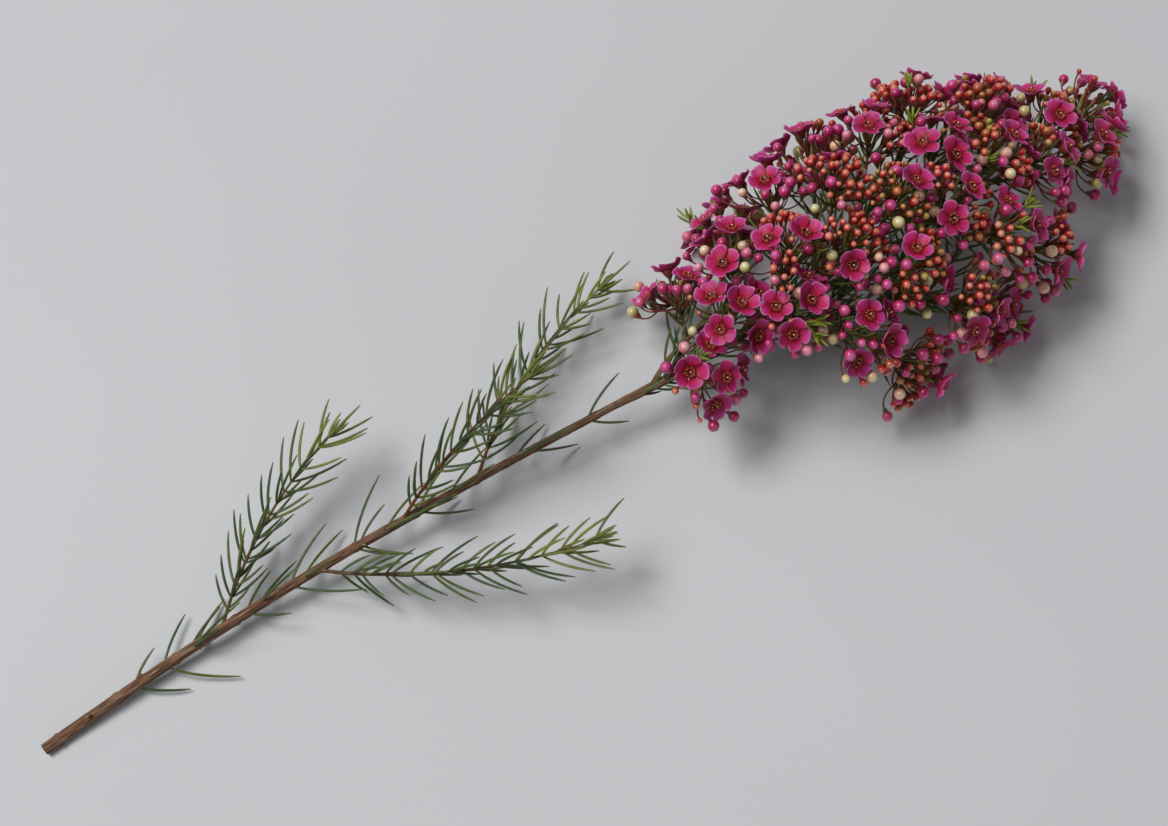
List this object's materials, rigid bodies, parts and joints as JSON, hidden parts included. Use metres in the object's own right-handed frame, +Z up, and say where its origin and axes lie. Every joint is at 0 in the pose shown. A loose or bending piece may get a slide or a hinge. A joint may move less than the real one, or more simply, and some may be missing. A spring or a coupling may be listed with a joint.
{
  "type": "waxflower stem",
  "caption": "Cut waxflower stem lying on a surface: woody axis, leafy shoots and side branches, and a dense head of flower sprays with five-petalled blooms and round buds on thin stalks.",
  "frame": {"origin": "middle of the bottom of the bounding box, on the surface that the stem lies on", "axes": "+X along the stem from its cut end to its tip, +Y across it, +Z up from the surface"},
  "size_m": [0.5632, 0.1404, 0.0873],
  "materials": {
    "bark": "dry grey-brown bark, pale cut face",
    "leaf": "dark green needle leaves and green to red-brown twigs, soft waxy sheen",
    "petal": "magenta waxy petals with a crimson cup, terracotta and cream-pink glossy buds"
  },
  "bodies": {
    "root": {"leafy_shoot_01": "leaf", "leafy_shoot_02": "leaf", "leafy_shoot_03": "leaf", "leafy_shoot_04": "leaf", "side_branch_01": "leaf", "side_branch_02": "leaf", "side_branch_03": "leaf", "side_branch_04": "leaf", "side_branch_05": "leaf", "side_branch_06": "leaf", "side_branch_07": "leaf", "side_branch_08": "leaf", "side_branch_09": "leaf", "side_branch_10": "leaf", "spray_01": "petal", "spray_02": "petal", "spray_03": "petal", "spray_04": "petal", "spray_05": "petal", "spray_06": "petal", "spray_07": "petal", "spray_08": "petal", "spray_09": "petal", "spray_10": "petal", "spray_11": "petal", "spray_12": "petal", "spray_13": "petal", "spray_14": "petal", "spray_15": "petal", "spray_16": "petal", "spray_17": "petal", "spray_18": "petal", "spray_19": "petal", "spray_20": "petal", "spray_21": "petal", "spray_22": "petal", "spray_23": "petal", "spray_24": "petal", "spray_25": "petal", "spray_26": "petal", "spray_27": "petal", "spray_28": "petal", "spray_29": "petal", "spray_30": "petal", "woody_stem": "bark"}
  },
  "joints": []
}
